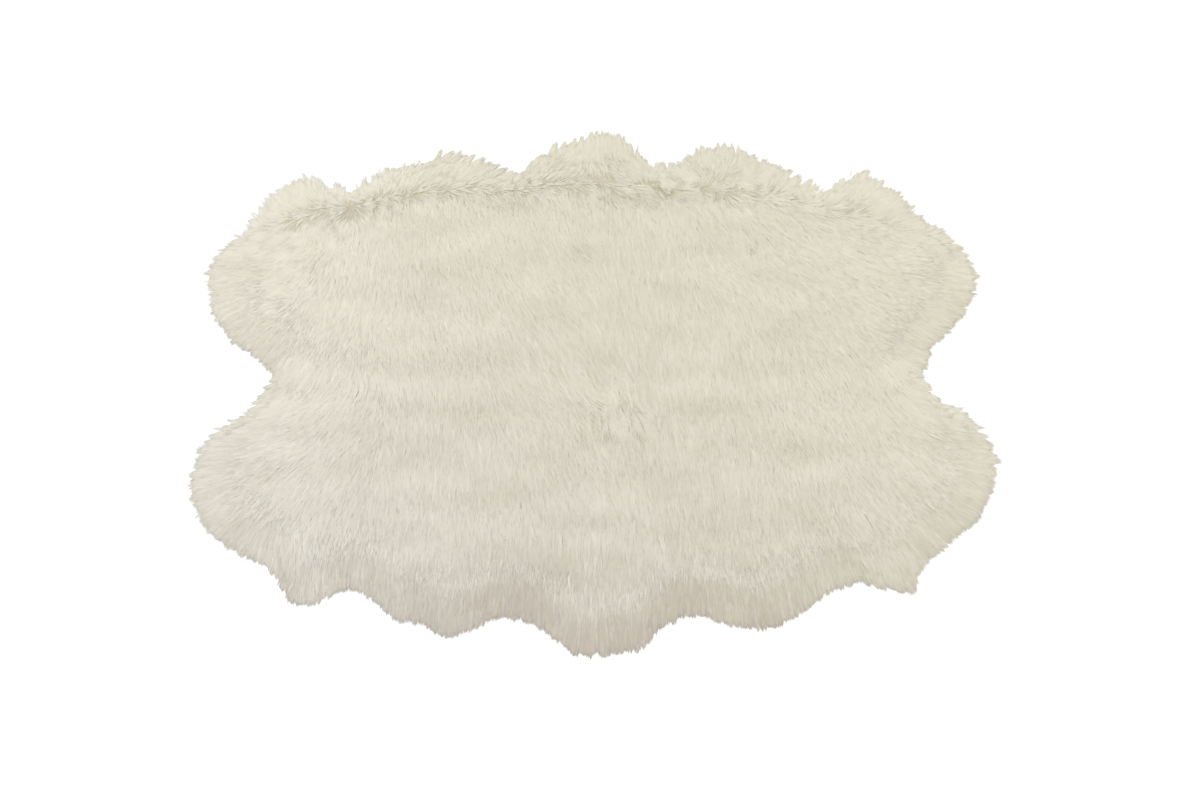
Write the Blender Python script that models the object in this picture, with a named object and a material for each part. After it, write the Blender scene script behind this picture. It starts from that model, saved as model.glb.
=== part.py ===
"""A sheepskin rug of four pelts sewn two by two, lying flat on the floor with its wool side up.

Each pelt is one solid: its skin and its wool together, a low lumpy slab with locks of wool at its
outer edge. The wool leans towards the near side (-Y) and parts along the seams.
+Z is up, +X runs along the rug's long side, and the origin is on the floor under the rug's middle.
"""

import math
import random

import bmesh
import bpy
from mathutils import Matrix, Vector, noise

MM = 0.001

# Driving sizes, in metres
WOOL_TOP = 0.036          # usual height of the lying wool above the floor
RIM_TOP = 0.009           # height of the wool over the skin's cut edge
RIM_ROLL = 0.080          # how far in from the cut edge the wool reaches its full height
PARTING_DEPTH = 0.009     # how far the wool sinks where it parts
PARTING_REACH = 0.036     # half the width of that hollow
SEAM_GAP = 0.0003         # the cut edges of two pelts lie this far apart
CELL = 0.027              # side of the squares that the wool's top face is worked in
SMALLEST_STEP = 0.004     # points of the top face nearer than this become one
EDGE_STEPS = 3            # straight steps from one landmark of an outer edge to the next
SEAM_STEPS = 7            # and from one point of a seam to the next

# The wool lies in waves: height of a wave, its length along X and its length along Y, in metres
WOOL_WAVES = (
    (0.0090, 0.200, 0.080),
    (0.0050, 0.110, 0.150),
)

# Whorls, where the wool turns about a point and leaves a hollow: x, y, radius and depth in mm
WHORLS = (
    (10, -60, 62, 7),
    (-40, 346, 50, 4),
    (-537, 446, 50, 6),
    (374, 346, 60, 4),
    (705, -5, 50, 5),
)

# Where the wool leans outwards beyond a line and inwards within it: points along each line in mm
PARTINGS = (
    ((-610, 454), (-466, 467), (-322, 481), (-177, 489)),
    ((114, 495), (258, 481), (379, 473), (499, 454)),
)

# Locks of wool past the cut edge
LOCKS_PER_PELT = 72
LOCK_REACH = (0.017, 0.031)   # shortest and longest, past the cut edge
LOCK_ROOT = 0.016             # how far a lock starts inside the edge
LOCK_WIDTH = (0.016, 0.022)   # at its root
LOCK_HEIGHT = 0.0075          # at its root
LOCK_LIFTS = (0.0004, 0.0007, 0.0010, 0.0013)  # in turn, its flat underside lies this far above the skin's
LOCK_SIDES = 4
LOCK_SWING = math.radians(13)  # a lock points this far to either side
LOCK_DRIFT = 0.2              # and stands this share of the spacing to either side
SEAM_END_FREE = 0.014         # no lock stands nearer than this to a seam's end
SEAM_END_REACH = 0.070        # within this of a seam's end, the locks turn to point along the seam
SEED = 7

# Moves the pelts so that the outline, with its locks, has its middle over the origin
TO_MIDDLE = (0.0048, 0.0042, 0.0)

# The middle, where the four pelts meet, and the seams from the outside inwards, in mm
MIDDLE = (10, -52)
SEAMS = {
    "far": ((0, 612), (9, 300), MIDDLE),
    "near": ((-8, -616), (5, -330), MIDDLE),
    "left": ((-716, 8), (-380, -36), MIDDLE),
    "right": ((738, 10), (400, -30), MIDDLE),
}

# The outer cut edge of each pelt, from the far or near seam round to the left or right seam:
# landmark, x and y in mm. The seams' outer ends come before the first row and after the last.
CUT_EDGES = {
    "far_left": (
        ("neck_corner", -40, 596),
        ("neck", -97, 589),
        ("neck_side", -150, 545),
        ("neck_notch", -203, 511),
        ("foreleg_inside", -295, 548),
        ("foreleg", -365, 568),
        ("foreleg_outside", -425, 542),
        ("flank", -525, 508),
        ("flank_notch", -597, 464),
        ("hind_leg", -680, 496),
        ("rump_top", -750, 459),
        ("rump_shoulder", -813, 382),
        ("rump_crest", -880, 295),
        ("rump_side", -887, 232),
        ("rump_low", -865, 157),
        ("rump_foot", -815, 97),
        ("waist_tuft", -764, 65),
    ),
    "far_right": (
        ("neck", 42, 614),
        ("neck_side", 88, 595),
        ("neck_foot", 128, 547),
        ("neck_notch", 193, 521),
        ("foreleg_inside", 257, 566),
        ("foreleg", 318, 580),
        ("foreleg_outside", 388, 550),
        ("flank", 468, 505),
        ("flank_notch", 546, 466),
        ("hind_leg_inside", 600, 487),
        ("hind_leg", 648, 517),
        ("rump_top", 730, 441),
        ("rump_shoulder", 784, 378),
        ("rump_crest", 846, 338),
        ("rump_side", 883, 262),
        ("rump_low", 870, 200),
        ("rump_foot", 828, 140),
        ("waist_side", 767, 82),
    ),
    "near_left": (
        ("neck_corner", -46, -610),
        ("neck_side", -102, -562),
        ("neck_notch", -180, -532),
        ("foreleg_inside", -250, -556),
        ("foreleg", -308, -576),
        ("foreleg_outside", -372, -546),
        ("flank_side", -426, -540),
        ("flank", -472, -502),
        ("flank_notch", -526, -473),
        ("hind_leg", -610, -508),
        ("hind_leg_corner", -664, -492),
        ("rump_foot", -692, -440),
        ("rump_low", -770, -396),
        ("rump_side", -840, -343),
        ("rump_crest", -873, -270),
        ("rump_shoulder", -869, -198),
        ("rump_top", -832, -137),
        ("waist_side", -764, -92),
    ),
    "near_right": (
        ("neck", 50, -612),
        ("neck_side", 112, -598),
        ("neck_foot", 148, -558),
        ("neck_notch", 214, -531),
        ("foreleg_inside", 285, -547),
        ("foreleg", 345, -558),
        ("foreleg_outside", 408, -549),
        ("flank", 468, -512),
        ("flank_side", 524, -474),
        ("flank_notch", 572, -462),
        ("hind_leg", 634, -481),
        ("hind_leg_corner", 690, -484),
        ("rump_foot", 704, -436),
        ("rump_low", 748, -391),
        ("rump_side", 817, -346),
        ("rump_belly", 865, -274),
        ("rump_crest", 882, -214),
        ("rump_shoulder", 870, -155),
        ("rump_top", 830, -100),
        ("waist_side", 768, -58),
    ),
}

# Ivory wool
WOOL_COLOUR = (0.69, 0.65, 0.55, 1.0)
WOOL_ROUGHNESS = 0.9


def clear_scene():
    for thing in list(bpy.data.objects):
        bpy.data.objects.remove(thing, do_unlink=True)


def new_collection(name):
    collection = bpy.data.collections.new(name)
    bpy.context.scene.collection.children.link(collection)
    return collection


def wool_material():
    material = bpy.data.materials.new("ivory_wool")
    material.use_nodes = True
    shader = material.node_tree.nodes["Principled BSDF"]
    shader.inputs["Base Color"].default_value = WOOL_COLOUR
    shader.inputs["Roughness"].default_value = WOOL_ROUGHNESS
    shader.inputs["Metallic"].default_value = 0.0
    return material


def metres(points):
    return [Vector((x * MM, y * MM)) for x, y in points]


def smooth_path(points, steps):
    """A smooth curve through the points (Catmull-Rom), in so many straight steps between each two."""
    knots = [points[0] * 2 - points[1], *points, points[-1] * 2 - points[-2]]
    path = []
    for before, start, end, after in zip(knots, knots[1:], knots[2:], knots[3:]):
        leaving = (end - before) / 2
        arriving = (after - start) / 2
        for step in range(steps):
            t = step / steps
            from_start = start * (2 * t**3 - 3 * t**2 + 1) + leaving * (t**3 - 2 * t**2 + t)
            to_end = end * (3 * t**2 - 2 * t**3) + arriving * (t**3 - t**2)
            path.append(from_start + to_end)
    path.append(points[-1])
    return path


def ease(share):
    """Rises from 0 at 0 to 1 at 1, level at both ends."""
    share = min(max(share, 0.0), 1.0)
    return share * share * (3 - 2 * share)


def distance_to(point, path):
    """How far a point lies from a path of straight steps."""
    nearest = math.inf
    for start, end in zip(path, path[1:]):
        run = end - start
        share = min(max((point - start).dot(run) / run.length_squared, 0.0), 1.0)
        nearest = min(nearest, (point - start - run * share).length)
    return nearest


def quarter_of(pelt):
    """Which quarter of the rug a pelt fills, as the signs of its x and y."""
    across, along = pelt.split("_")
    return Vector((1 if along == "right" else -1, 1 if across == "far" else -1))


def edges_of(pelt):
    """A pelt's outer edge, and its two seams from the outside inwards, half a gap back from the middle."""
    across, along = pelt.split("_")
    quarter = quarter_of(pelt)
    back = {across: Vector((quarter.x, 0)) * SEAM_GAP / 2, along: Vector((0, quarter.y)) * SEAM_GAP / 2}
    seams = []
    for seam in (across, along):
        points = [point + back[seam] for point in metres(SEAMS[seam])]
        points[-1] = metres([MIDDLE])[0] + quarter * SEAM_GAP / 2
        seams.append(smooth_path(points, SEAM_STEPS))
    landmarks = metres([row[1:] for row in CUT_EDGES[pelt]])
    outer = smooth_path([seams[0][0], *landmarks, seams[1][0]], EDGE_STEPS)
    return outer, seams


def wool_height(point, outer, partings):
    """How high the wool's top lies over a point of the skin."""
    height = WOOL_TOP
    for rise, long_x, long_y in WOOL_WAVES:
        height += rise * noise.noise(Vector((point.x / long_x, point.y / long_y, long_x)))
    for x, y, radius, depth in WHORLS:
        away = (point - Vector((x, y)) * MM).length
        height -= depth * MM * (1 - ease(away / (radius * MM)))
    to_parting = min(distance_to(point, path) for path in partings)
    height -= PARTING_DEPTH * (1 - ease(to_parting / PARTING_REACH))
    return RIM_TOP + (height - RIM_TOP) * ease(distance_to(point, outer) / RIM_ROLL)


def filled_outline(name, loop):
    """A flat slab in the outline, from a filled and extruded curve, as a mesh."""
    curve = bpy.data.curves.new(name, "CURVE")
    curve.dimensions = "2D"
    curve.fill_mode = "BOTH"
    curve.extrude = RIM_TOP / 2
    spline = curve.splines.new("POLY")
    spline.points.add(len(loop) - 1)
    for knot, place in zip(spline.points, loop):
        knot.co = (place.x, place.y, 0, 1)
    spline.use_cyclic_u = True
    drawn = bpy.data.objects.new(name, curve)
    bpy.context.scene.collection.objects.link(drawn)
    graph = bpy.context.evaluated_depsgraph_get()
    mesh = bpy.data.meshes.new_from_object(drawn.evaluated_get(graph))
    mesh.name = name
    bpy.data.objects.remove(drawn, do_unlink=True)
    bpy.data.curves.remove(curve)
    return mesh


def cut_top_into_squares(form, loop):
    """Cuts the top face along a square grid."""
    for axis in (Vector((1, 0, 0)), Vector((0, 1, 0))):
        reached = [axis.xy.dot(place) for place in loop]
        line = math.ceil(min(reached) / CELL) * CELL
        while line < max(reached):
            faces = [face for face in form.faces if face.normal.z > 0.5]
            edges = {edge for face in faces for edge in face.edges}
            points = {point for face in faces for point in face.verts}
            bmesh.ops.bisect_plane(
                form, geom=[*points, *edges, *faces], dist=0.1 * MM, plane_co=axis * line, plane_no=axis
            )
            line += CELL


def is_rim(point):
    return any(abs(face.normal.z) < 0.5 for face in point.link_faces)


def is_corner(point):
    """Whether one of the outline's own points is under this point of the top's rim."""
    return any(edge.other_vert(point).co.z < RIM_TOP / 2 for edge in point.link_edges)


def even_out_top(form, loop):
    """Leaves no point of the top face too near its rim or a corner, and makes it of even triangles."""
    top = [point for point in form.verts if point.co.z > RIM_TOP / 2]
    corners = [point for point in top if is_corner(point)]
    found = bmesh.ops.find_doubles(
        form, verts=[point for point in top if is_rim(point)], keep_verts=corners, dist=SMALLEST_STEP
    )
    bmesh.ops.weld_verts(form, targetmap=found["targetmap"])
    too_near = [
        point for point in form.verts
        if point.co.z > RIM_TOP / 2 and not is_rim(point)
        and distance_to(point.co.xy, [*loop, loop[0]]) < SMALLEST_STEP * 2
    ]
    bmesh.ops.dissolve_verts(form, verts=too_near)
    bmesh.ops.triangulate(form, faces=[face for face in form.faces if face.normal.z > 0.5])
    faces = [face for face in form.faces if face.normal.z > 0.5]
    inner = {edge for face in faces for edge in face.edges if all(f.normal.z > 0.5 for f in edge.link_faces)}
    bmesh.ops.beautify_fill(form, faces=faces, edges=list(inner), method="ANGLE")


def lumpy_slab(name, outer, seams):
    """A pelt without its locks: flat below, and as high above as the wool lies."""
    loop = outer[:-1] + seams[1][:-1] + seams[0][:0:-1]
    mesh = filled_outline(name, loop)
    form = bmesh.new()
    form.from_mesh(mesh)
    bmesh.ops.remove_doubles(form, verts=form.verts, dist=0.01 * MM)
    bmesh.ops.translate(form, verts=form.verts, vec=(0, 0, RIM_TOP / 2))
    bmesh.ops.recalc_face_normals(form, faces=form.faces)
    for up in (1, -1):
        bmesh.ops.dissolve_faces(form, faces=[face for face in form.faces if face.normal.z * up > 0.5])
    cut_top_into_squares(form, loop)
    even_out_top(form, loop)
    partings = [*seams, *(smooth_path(metres(line), SEAM_STEPS) for line in PARTINGS)]
    for point in form.verts:
        if point.co.z > RIM_TOP / 2:
            point.co.z = wool_height(point.co.xy, outer, partings)
    bmesh.ops.triangulate(form, faces=form.faces)
    form.to_mesh(mesh)
    form.free()
    return mesh


def lock_stands(pelt, outer, seams, chance):
    """Where each lock stands on the outer edge, and which way it points."""
    quarter = quarter_of(pelt)
    seam_ways = [(seam[0] - seam[1]).normalized() for seam in seams]
    lengths = [(end - start).length for start, end in zip(outer, outer[1:])]
    whole = sum(lengths)
    spacing = (whole - 2 * SEAM_END_FREE) / LOCKS_PER_PELT
    for number in range(LOCKS_PER_PELT):
        travelled = SEAM_END_FREE + spacing * (number + 0.5 + chance.uniform(-LOCK_DRIFT, LOCK_DRIFT))
        left = travelled
        step = 0
        while left > lengths[step]:
            left -= lengths[step]
            step += 1
        run = (outer[step + 1] - outer[step]).normalized()
        way = Vector((run.y, -run.x)) * -quarter.x * quarter.y
        way = way @ Matrix.Rotation(chance.uniform(-LOCK_SWING, LOCK_SWING), 2)
        for seam_way, away in zip(seam_ways, (travelled, whole - travelled)):
            way = seam_way.lerp(way, ease(away / SEAM_END_REACH))
        yield outer[step] + run * left, way.normalized()


def add_lock(form, place, way, reach, width, lift):
    """One lock: a four-sided cone lying on its flat side, its thick end inside the slab."""
    length = LOCK_ROOT + reach
    cone = bmesh.ops.create_cone(
        form, cap_ends=True, segments=LOCK_SIDES, radius1=math.sqrt(0.5), radius2=0, depth=length
    )
    bmesh.ops.rotate(form, verts=cone["verts"], cent=(0, 0, 0), matrix=Matrix.Rotation(math.radians(45), 3, "Z"))
    beside = Vector((-way.y, way.x))
    for point in cone["verts"]:
        is_root = point.co.z < 0
        sideways = point.co.x * width
        rise = (point.co.y + 0.5) * LOCK_HEIGHT if is_root else 0
        on_floor = place + way * (point.co.z + length / 2 - LOCK_ROOT) + beside * sideways
        point.co = (*on_floor, lift + rise)


def lock_sets(pelt, outer, seams):
    """The pelt's locks as two meshes, every other lock in each, so that neighbours are joined in turn."""
    chance = random.Random(f"{pelt} {SEED}")
    forms = (bmesh.new(), bmesh.new())
    for number, (place, way) in enumerate(lock_stands(pelt, outer, seams, chance)):
        reach = chance.uniform(*LOCK_REACH)
        width = chance.uniform(*LOCK_WIDTH)
        add_lock(forms[number % 2], place, way, reach, width, LOCK_LIFTS[number % len(LOCK_LIFTS)])
    for number, form in enumerate(forms):
        bmesh.ops.recalc_face_normals(form, faces=form.faces)
        mesh = bpy.data.meshes.new(f"{pelt}_locks_{number + 1}")
        form.to_mesh(mesh)
        form.free()
        yield mesh


def make_pelt(pelt, parts, cutters, material, rug):
    outer, seams = edges_of(pelt)
    name = "pelt_" + pelt
    body = bpy.data.objects.new(name, lumpy_slab(name, outer, seams))
    body.parent = rug
    body.data.materials.append(material)
    parts.objects.link(body)
    for mesh in lock_sets(pelt, outer, seams):
        mesh.materials.append(material)
        locks = bpy.data.objects.new(mesh.name, mesh)
        locks.parent = rug
        locks.hide_render = True
        locks.display_type = "WIRE"
        cutters.objects.link(locks)
        union = body.modifiers.new(mesh.name, "BOOLEAN")
        union.operation = "UNION"
        union.use_self = True
        union.object = locks


def main():
    clear_scene()
    parts = new_collection("sheepskin_rug")
    cutters = new_collection("locks_to_join")
    rug = bpy.data.objects.new("rug_middle", None)
    rug.location = TO_MIDDLE
    parts.objects.link(rug)
    material = wool_material()
    for pelt in CUT_EDGES:
        make_pelt(pelt, parts, cutters, material, rug)


main()
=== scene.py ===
# %% [markdown]
# # A sheepskin rug of four pelts
# The rug is four long-wool pelts sewn two by two, laid flat with the wool up. What the eye meets is almost
# only wool: about two hundred thousand fine locks, all leaning the way they were combed. So this lesson is
# about growing hair as real meshes: a low bed of underwool, a map of the way the wool lies, and Geometry
# Nodes that set a lock on every ten square millimetres and lean it along that map.
# The frame holds the plain solids of the four pelts. They give the cut outline and the height of the wool.

# %% Load the frame
import math
from functools import partial
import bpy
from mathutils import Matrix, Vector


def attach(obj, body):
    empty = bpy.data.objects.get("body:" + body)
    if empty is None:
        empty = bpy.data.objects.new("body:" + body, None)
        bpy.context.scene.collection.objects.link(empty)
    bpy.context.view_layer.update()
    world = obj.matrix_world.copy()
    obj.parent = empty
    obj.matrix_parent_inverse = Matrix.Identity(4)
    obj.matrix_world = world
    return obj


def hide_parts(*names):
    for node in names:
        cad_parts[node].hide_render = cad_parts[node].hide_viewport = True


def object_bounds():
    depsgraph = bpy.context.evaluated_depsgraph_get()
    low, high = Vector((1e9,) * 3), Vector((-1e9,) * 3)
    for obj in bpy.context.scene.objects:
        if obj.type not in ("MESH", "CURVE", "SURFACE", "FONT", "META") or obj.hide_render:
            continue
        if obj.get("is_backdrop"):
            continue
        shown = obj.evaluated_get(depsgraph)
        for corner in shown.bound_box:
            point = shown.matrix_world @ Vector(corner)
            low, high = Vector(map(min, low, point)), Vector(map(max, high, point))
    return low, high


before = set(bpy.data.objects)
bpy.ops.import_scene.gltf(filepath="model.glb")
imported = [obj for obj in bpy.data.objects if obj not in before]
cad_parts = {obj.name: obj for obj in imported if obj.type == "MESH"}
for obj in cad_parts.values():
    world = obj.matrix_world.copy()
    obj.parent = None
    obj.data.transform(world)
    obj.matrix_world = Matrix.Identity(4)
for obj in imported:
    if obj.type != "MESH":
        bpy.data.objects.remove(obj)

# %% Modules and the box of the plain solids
from types import SimpleNamespace

import bmesh
import bpy
import numpy as np
from mathutils import Vector, geometry, noise
from mathutils.bvhtree import BVHTree

MM = 0.001
PELTS = sorted(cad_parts)
cad_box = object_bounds()
print("pelts:", ", ".join(PELTS))

# %% [markdown]
# ## Helpers
# Colours are written as the sRGB hex values a colour picker shows, and Blender's shaders work in linear
# light, so one function turns the one into the other. Node trees are long when they are written out, so one
# function adds a node, sets its properties and joins its inputs in a single call. Inputs are given in their
# order on the node, or by name where that reads better.

# %% Colour and node helpers
def linear(hex_colour):
    """The linear RGBA of an sRGB hex colour such as "E0DCD0"."""
    shares = [int(hex_colour[i:i + 2], 16) / 255 for i in (0, 2, 4)]
    return (*[s / 12.92 if s <= 0.04045 else ((s + 0.055) / 1.055) ** 2.4 for s in shares], 1.0)


def pick(sockets, key):
    """The socket with that name or at that place, among those that the node's settings leave in use."""
    in_use = [socket for socket in sockets if socket.enabled]
    return in_use[key] if isinstance(key, int) else next(s for s in in_use if s.name == key)


def add_node(tree, kind, *ordered, inputs=None, output=0, **settings):
    """Adds a node, sets its properties, feeds its inputs with values or sockets, and returns one output."""
    added = tree.nodes.new(kind)
    for name, value in settings.items():
        setattr(added, name, value)
    for key, value in {**dict(enumerate(ordered)), **(inputs or {})}.items():
        socket = pick(added.inputs, key)
        if isinstance(value, bpy.types.NodeSocket):
            tree.links.new(value, socket)
        else:
            socket.default_value = value
    return pick(added.outputs, output) if added.outputs else added


# %% [markdown]
# ## Camera
# The photo looks down on the rug from about 70 degrees above the floor. How wide the rug is in the picture,
# and how much larger its near half comes out than its far half, give the lens and the distance.

# %% Camera
CAMERA_ANGLE = math.radians(70)
CAMERA_DISTANCE = 2.9
SENSOR_WIDTH = 36.0
CAMERA_LENS = 37.86
AIM = Vector((0.0216, -0.0550, 0.0))

camera_data = bpy.data.cameras.new("camera")
camera_data.sensor_width = SENSOR_WIDTH
camera_data.lens = CAMERA_LENS
camera = bpy.data.objects.new("camera", camera_data)
camera.location = AIM + CAMERA_DISTANCE * Vector((0, -math.cos(CAMERA_ANGLE), math.sin(CAMERA_ANGLE)))
camera.rotation_euler = (math.pi / 2 - CAMERA_ANGLE, 0, 0)
bpy.context.scene.collection.objects.link(camera)
bpy.context.scene.camera = camera
print("camera at", [round(value, 3) for value in camera.location], "m")

# %% [markdown]
# ## Floor
# The rug lies on white studio paper, which in the photo is as white as a picture can be. A studio lights the
# paper apart from the rug for that. Here the paper gives off a little light of its own, so that it stays
# white however softly the wool is lit.

# %% Floor
FLOOR_REACH = 8.0
PAPER_GLOW = 0.32

bpy.ops.mesh.primitive_plane_add(size=2 * FLOOR_REACH, location=(0, 0, 0))
floor = bpy.context.object
floor.name = "studio_floor"
paper = bpy.data.materials.new("white_studio_paper")
paper.use_nodes = True
paper_shader = paper.node_tree.nodes["Principled BSDF"]
paper_shader.inputs["Base Color"].default_value = linear("FAFAFA")
paper_shader.inputs["Roughness"].default_value = 0.95
paper_shader.inputs["Specular IOR Level"].default_value = 0.1
paper_shader.inputs["Emission Color"].default_value = linear("FFFFFF")
paper_shader.inputs["Emission Strength"].default_value = PAPER_GLOW
floor.data.materials.append(paper)
floor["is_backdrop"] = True
print("floor:", 2 * FLOOR_REACH, "m square")

# %% [markdown]
# ## Light
# White wool is all soft shading, so hard lamps would spoil it. A soft sky stands for the white studio. Most
# of the light comes from one large softbox high behind the camera, so that the locks' own small shadows fall
# away from the eye. A faint one over the far edge brings out the tufts there.

# %% Light
SKY_COLOUR = "FFFBF4"
SKY_STRENGTH = 0.24
# Each softbox: name, place in metres, side in metres, watts
SOFTBOXES = (
    ("softbox_behind_camera", (-0.2, -3.9, 11.3), 6.0, 1136.0),
    ("softbox_over_far_edge", (-0.5, 2.2, 4.2), 2.0, 9.0),
)

world = bpy.data.worlds.new("studio")
world.use_nodes = True
world.node_tree.nodes["Background"].inputs["Color"].default_value = linear(SKY_COLOUR)
world.node_tree.nodes["Background"].inputs["Strength"].default_value = SKY_STRENGTH
bpy.context.scene.world = world
for name, place, side, watts in SOFTBOXES:
    lamp_data = bpy.data.lights.new(name, "AREA")
    lamp_data.energy = watts
    lamp_data.size = side
    lamp = bpy.data.objects.new(name, lamp_data)
    lamp.location = place
    lamp.rotation_euler = (-Vector(place)).to_track_quat("-Z", "Y").to_euler()
    bpy.context.scene.collection.objects.link(lamp)
    print(name, watts, "W at", round(Vector(place).length, 2), "m")
bpy.context.scene.view_settings.view_transform = "Standard"

# %% [markdown]
# ## The skins' outlines
# Under the wool is the tanned skin, cut to the scalloped outline. Each plain solid lies on its flat
# underside, and that face is the skin's outline without the locks. So the outline is read from there.

# %% The cut outline of each skin
MERGED = 0.01 * MM
FLAT = 0.05 * MM


def merged_copy(pelt):
    """The pelt's plain solid with its loose triangles joined."""
    form = bmesh.new()
    form.from_mesh(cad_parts[pelt].data)
    bmesh.ops.remove_doubles(form, verts=form.verts, dist=MERGED)
    return form


def loop_area(loop):
    """The area inside the closed loop, less than 0 where the loop runs clockwise."""
    ahead = np.roll(loop, -1, axis=0)
    return float(np.sum(loop[:, 0] * ahead[:, 1] - ahead[:, 0] * loop[:, 1]) / 2)


def cut_outline(form):
    """The points round the solid's flat underside, counter-clockwise seen from above."""
    under = {face for face in form.faces if all(point.co.z < FLAT for point in face.verts)}
    rim = [edge for edge in form.edges if sum(face in under for face in edge.link_faces) == 1]
    onward = {}
    for edge in rim:
        for point in edge.verts:
            onward.setdefault(point, []).append(edge.other_vert(point))
    start = rim[0].verts[0]
    loop = [start, onward[start][0]]
    while True:
        following = next(p for p in onward[loop[-1]] if p != loop[-2])
        if following == start:
            break
        loop.append(following)
    points = np.array([point.co.xy for point in loop])
    return points if loop_area(points) > 0 else points[::-1]


solids = {pelt: merged_copy(pelt) for pelt in PELTS}
outlines = {pelt: cut_outline(solids[pelt]) for pelt in PELTS}
for pelt in PELTS:
    print(pelt, "outline points:", len(outlines[pelt]), "area:", round(loop_area(outlines[pelt]), 3), "m2")

# %% [markdown]
# ## The way the wool lies
# Combed wool has a direction at every place. A short table of combing strokes, read from the picture,
# gives it: on the body of the rug the wool runs towards the viewer, on the lobes it fans outwards, and beyond
# a long parting near the far edge it falls the other way. Four more tables say where that parting runs, where
# wool turns about a point, where tufts stand apart, and where they lie this way and that.

# %% Combing strokes
# On the body: x and y in mm, and the heading of the tips in degrees, 0 to the right and 90 to the far side
BODY_STROKES = (
    (-486, 400, -80), (-576, 320, -86), (-250, 430, -75), (-113, 254, -60), (-300, 200, -72),
    (-450, 60, -74), (-109, -10, -62), (-60, 430, -72), (60, 430, -86), (134, 190, -82),
    (250, 50, -84), (180, 380, -80), (317, 418, -62), (374, 330, -50), (440, 400, -50),
    (491, 307, -42), (400, 180, -70), (520, 180, -55), (420, 60, -78), (560, 60, -62),
    (495, 386, -38), (620, 330, -32), (650, 400, -12), (740, 300, -8), (820, 240, -6),
    (700, 160, -35), (790, 150, -25), (650, 70, -45), (730, 60, -20),
    (620, 0, -75), (690, -30, -62), (720, -90, -30), (800, -130, -2), (850, -200, -8),
    (820, -280, -28), (700, -180, -48), (600, -150, -70), (640, -300, -55), (740, -360, -42),
    (586, -362, -66), (660, -440, -62), (500, -250, -80), (480, -440, -80), (300, -250, -86),
    (-73, -178, -76), (0, -450, -90), (60, -560, -86), (-60, -560, -94), (200, -480, -88),
    (340, -500, -84), (-200, -480, -92), (-310, -520, -94), (-240, -260, -86), (-400, -200, -90),
    (-430, -460, -90), (-526, -400, -92), (-600, -470, -92), (-620, -360, -92), (-700, -400, -96),
    (-700, -470, -98), (-760, -400, -108), (-640, -260, -118), (-790, -330, -140),
    (-820, -230, -168), (-780, -140, -178), (-680, -120, -160), (-560, -90, -118),
    (-640, -50, -140), (-720, -40, -160), (-400, -90, -84), (-700, 40, -128), (-620, 60, -104),
    (-780, 110, -128), (-840, 180, -155), (-720, 180, -132), (-640, 200, -104), (-860, 260, -176),
    (-780, 290, -172), (-700, 300, -150), (-660, 380, -118),
)
# Beyond the far parting, in the same columns
RIM_STROKES = (
    (-880, 320, 172), (-820, 380, 150), (-760, 430, 130), (-680, 480, 118), (-600, 450, 108),
    (-540, 500, 86), (-480, 520, 64), (-400, 530, 46), (-330, 540, 42), (-260, 520, 32),
    (-180, 510, 28), (-120, 560, 40), (-60, 590, 74), (0, 600, 90), (70, 590, 92),
    (130, 540, 84), (200, 520, 92), (270, 550, 100), (340, 560, 84), (400, 530, 58),
    (480, 490, 42), (560, 470, 44), (640, 500, 54), (700, 450, 40), (760, 390, 26), (850, 320, 8),
)
# The far parting: x and y in mm
FAR_PARTING = (
    (-940, 318), (-700, 404), (-610, 450), (-466, 467), (-322, 481), (-177, 489), (0, 500),
    (114, 495), (258, 481), (379, 473), (499, 454), (600, 420), (940, 300),
)
# Whorls: x, y and radius in mm, and how far the wool is turned at the middle in degrees
WHORLS = (
    (15, -60, 65, 40), (-40, 350, 45, 50), (-537, 446, 40, 60), (374, 350, 45, -40),
    (706, 0, 45, 60), (-690, 190, 60, -35),
)
# Hollows where tufts stand apart and their roots show: x, y and radius in mm
HOLLOWS = (
    (-532, 419, 20), (-701, 435, 18), (-733, 381, 22), (-690, 296, 24), (-455, 474, 14), (-395, 476, 12),
    (-341, 476, 14), (-280, 480, 11), (-225, 484, 12), (-130, 555, 14), (22, 540, 16), (15, 485, 18),
    (119, 500, 22), (179, 474, 20), (230, 484, 24), (290, 478, 18), (362, 494, 20), (400, 480, 18),
    (335, 432, 18), (15, -31, 18), (56, -70, 16), (94, -82, 18), (-8, -150, 20), (-60, -20, 14),
    (-795, -350, 15), (-745, -275, 12),
)
# Rumpled places: x, y, half length and half width in mm, and how far their tufts turn in degrees
RUMPLED = (
    (210, 505, 230, 38, 75), (-700, 400, 80, 60, 60), (40, -70, 80, 60, 50), (-560, 440, 60, 40, 50),
)
print(len(BODY_STROKES) + len(RIM_STROKES), "strokes,", len(WHORLS), "whorls,", len(HOLLOWS), "hollows")

# %% [markdown]
# ## From strokes to a direction everywhere
# Between two strokes the direction changes softly, as it does on combed wool. So each point takes the mean of
# all strokes, and the near ones count for far more. The strokes on the two sides of the far parting are kept
# apart, or the parting would blur. Whorls and rumpled places then turn what the strokes gave.

# %% The lay of the wool
STROKE_REACH = 45 * MM
STROKE_FALL = -2.5
PARTING_BLUR = 7 * MM
WHORL_SPREAD = 0.5
# Rumpled tufts: their size in metres, and the layer of the noise that turns them
RUMPLE_SIZE = 0.034
RUMPLE_LAYER = 5.5


def ease(share):
    """A soft step: 0 below 0, 1 above 1, and level at both."""
    share = np.clip(share, 0.0, 1.0)
    return share * share * (3 - 2 * share)


def wavy(points, long_x, long_y, layer):
    """Soft noise from about -1 to 1, stretched along X or Y. Each layer is another pattern."""
    return np.array([2 * noise.noise(Vector((x / long_x, y / long_y, layer))) for x, y in points])


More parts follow.
